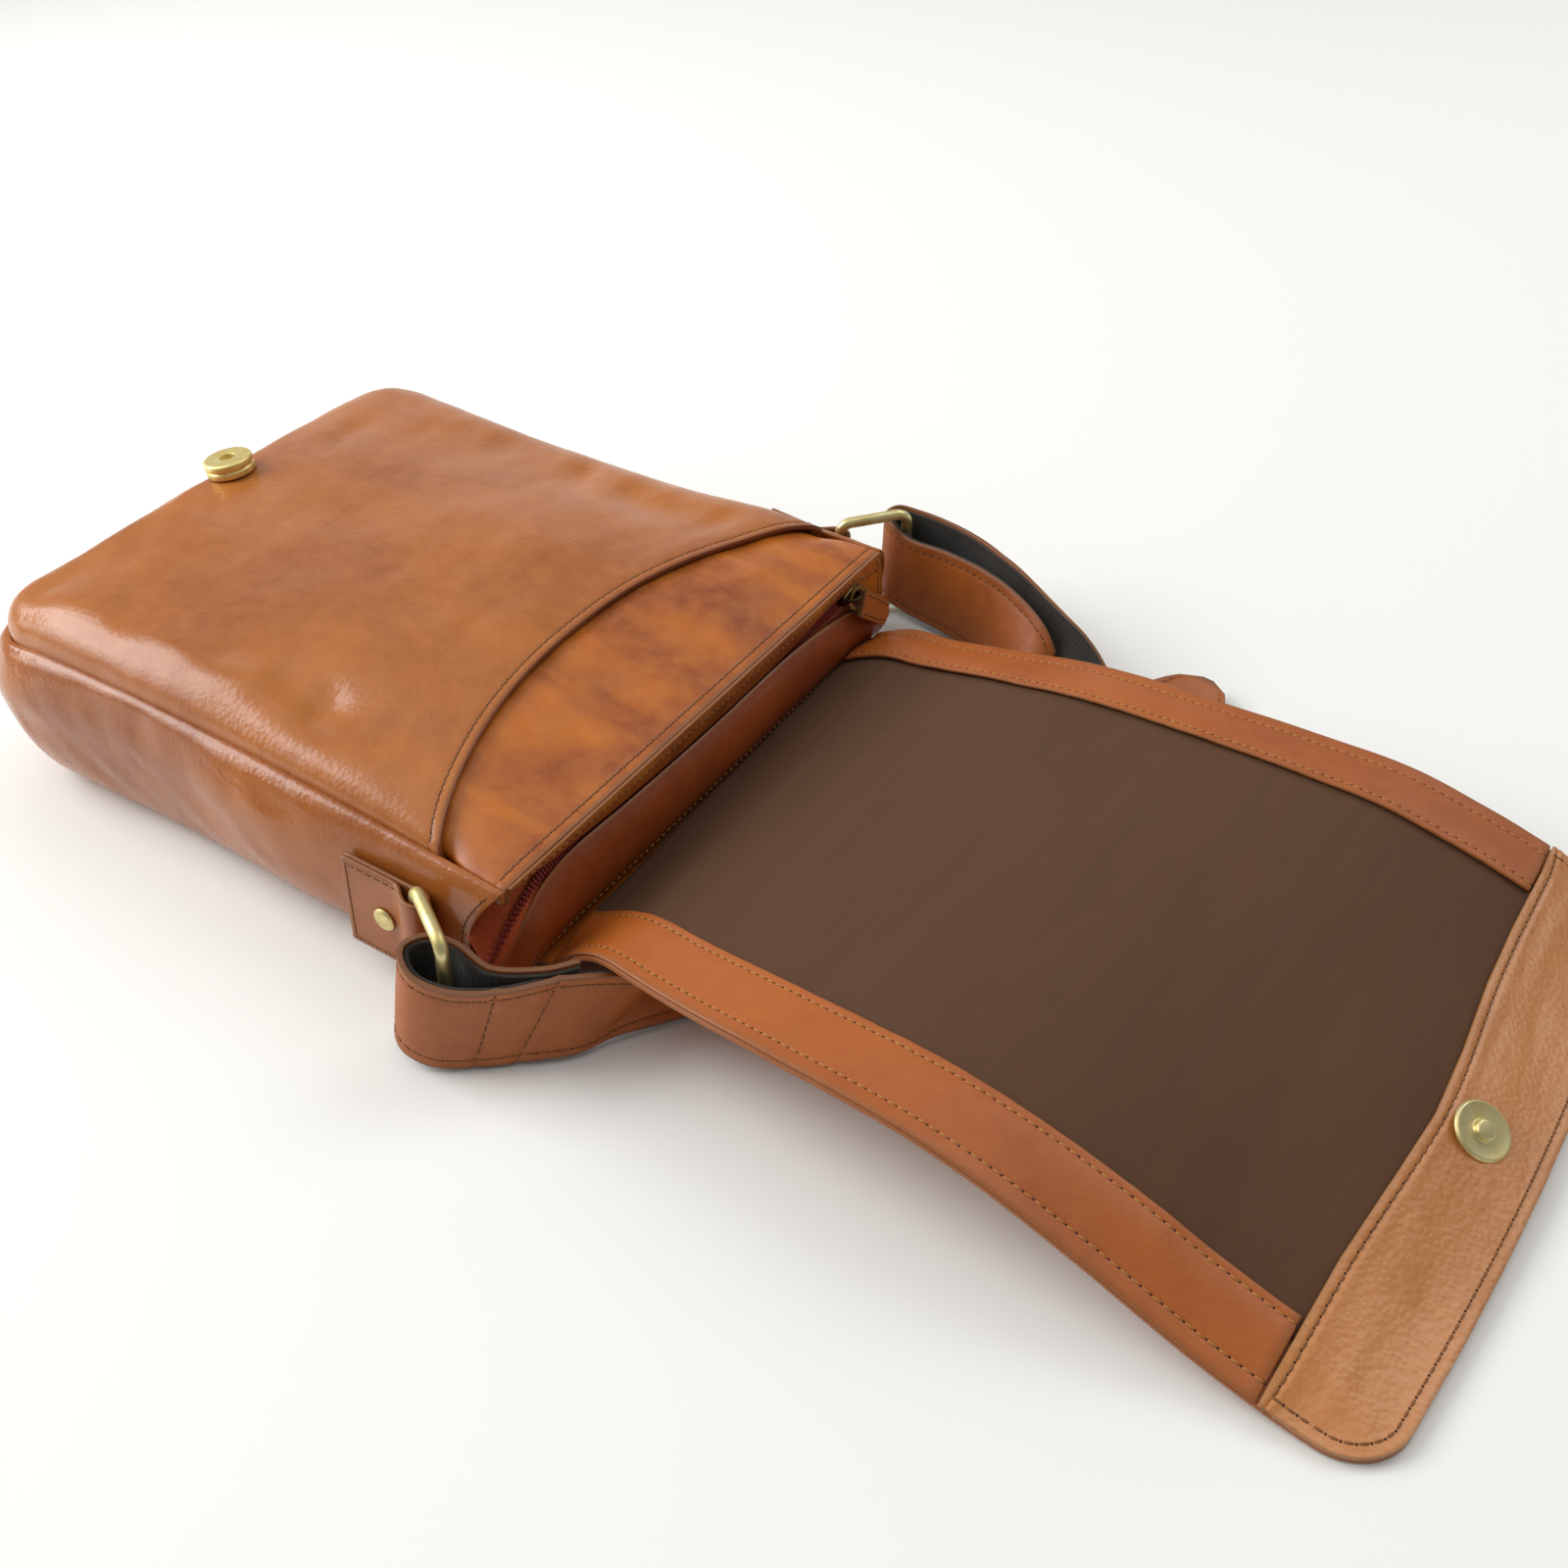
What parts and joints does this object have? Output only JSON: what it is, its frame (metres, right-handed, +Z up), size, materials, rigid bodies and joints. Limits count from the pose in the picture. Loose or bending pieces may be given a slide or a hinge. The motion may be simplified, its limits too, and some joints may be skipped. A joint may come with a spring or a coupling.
{
  "type": "leather shoulder bag",
  "caption": "Leather shoulder bag lying on its back with its flap thrown open, showing the front slip pocket, the zipped top, the side rings and the strap that runs under the flap",
  "frame": {"origin": "middle of the back panel, on the floor that the bag lies on", "axes": "+X from the bag's bottom to the end of the open flap, +Y from the near side to the far side, +Z up out of the front"},
  "size_m": [0.5466, 0.2953, 0.0829],
  "materials": {
    "tan_leather": "cognac cowhide, satin, lightly creased",
    "flap_leather": "cognac cowhide, satin, a little redder",
    "hem_leather": "paler cowhide, dull",
    "lining_cloth": "smooth dark brown lining",
    "strap_canvas": "coarse dark canvas, dull",
    "zip_cloth": "rust woven tape",
    "zip_nylon": "wine-red coil",
    "aged_brass": "pale brass, lightly worn",
    "dark_brass": "darkened brass"
  },
  "bodies": {
    "root": {"pocket_panel": "tan_leather", "front_panel": "tan_leather", "gusset": "tan_leather", "back_panel": "tan_leather", "zip_lip_front": "tan_leather", "zip_lip_back": "tan_leather", "zip_tape": "zip_cloth", "zip_coil": "zip_nylon", "zip_slider": "dark_brass", "zip_pull_ring": "aged_brass", "zip_pull_tag": "tan_leather", "flap_leather": "flap_leather", "flap_lining": "lining_cloth", "flap_border_near": "flap_leather", "flap_border_far": "flap_leather", "flap_hem": "hem_leather", "snap_stud": "aged_brass", "snap_socket": "aged_brass", "strap_near": "tan_leather", "strap_near_canvas": "strap_canvas", "strap_far": "tan_leather", "strap_far_canvas": "strap_canvas", "strap_slide": "aged_brass", "ring_near": "aged_brass", "ring_far": "aged_brass", "tab_near": "tan_leather", "tab_near_rivet": "aged_brass", "tab_far": "tan_leather", "tab_far_rivet": "aged_brass"}
  },
  "joints": []
}
